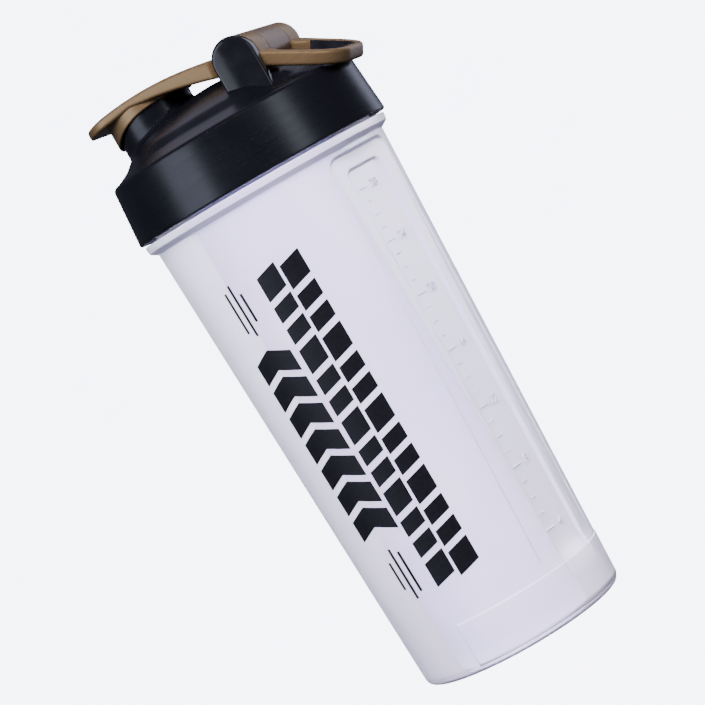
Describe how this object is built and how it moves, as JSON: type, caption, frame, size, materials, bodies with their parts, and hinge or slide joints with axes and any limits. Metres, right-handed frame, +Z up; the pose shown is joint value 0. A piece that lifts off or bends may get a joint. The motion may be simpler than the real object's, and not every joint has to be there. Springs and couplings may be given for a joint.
{
  "type": "shaker bottle",
  "caption": "Frosted shaker bottle with a black screw lid, a bronze flip cap over the spout and a hinged carry loop.",
  "frame": {"origin": "centre of the foot ring, on the surface that the bottle stands on", "axes": "+Z up along the bottle; the spout is towards -X, the carry loop towards +X and the lid hinge runs along Y"},
  "size_m": [0.1047, 0.1, 0.2341],
  "materials": {
    "frosted_cup": "frosted translucent polypropylene",
    "black_lid": "satin moulded polypropylene",
    "silicone": "moulded silicone",
    "pin_steel": "turned stainless steel",
    "bronze_plastic": "bronze metallic-filled moulded plastic",
    "black_liner": "moulded soft plastic",
    "grid_plastic": "moulded polypropylene"
  },
  "bodies": {
    "cup": {"cup": "frosted_cup"},
    "seal": {"lid_seal": "silicone"},
    "lid": {"lid": "black_lid", "hinge_pin": "pin_steel"},
    "cap": {"flip_cap": "bronze_plastic", "spout_seal": "silicone"},
    "loop": {"carry_loop": "bronze_plastic", "loop_liner": "black_liner"},
    "grid": {"mixing_grid": "grid_plastic"}
  },
  "joints": [
    {"name": "lid_rise", "type": "slide", "parent": "cup", "child": "seal", "axis": [0, 0, 1], "range_m": [0, 0.0251]},
    {"name": "lid_turn", "type": "hinge", "parent": "seal", "child": "lid", "pos_m": [0, 0, 0.2], "axis": [0, 0, 1], "range_deg": [0, 1800]},
    {"name": "flip_cap_hinge", "type": "hinge", "parent": "lid", "child": "cap", "pos_m": [0.0225, 0, 0.2254], "axis": [0, 1, 0], "range_deg": [0, 165]},
    {"name": "carry_loop_hinge", "type": "hinge", "parent": "lid", "child": "loop", "pos_m": [0.0225, 0, 0.2254], "axis": [0, -1, 0], "range_deg": [0, 175]},
    {"name": "grid_drop", "type": "slide", "parent": "lid", "child": "grid", "axis": [0, 0, -1], "range_m": [0, 0.025]}
  ],
  "couplings": [
    {"joint": "lid_rise", "follows": "lid_turn", "m_per_rad": 0.00079577}
  ]
}
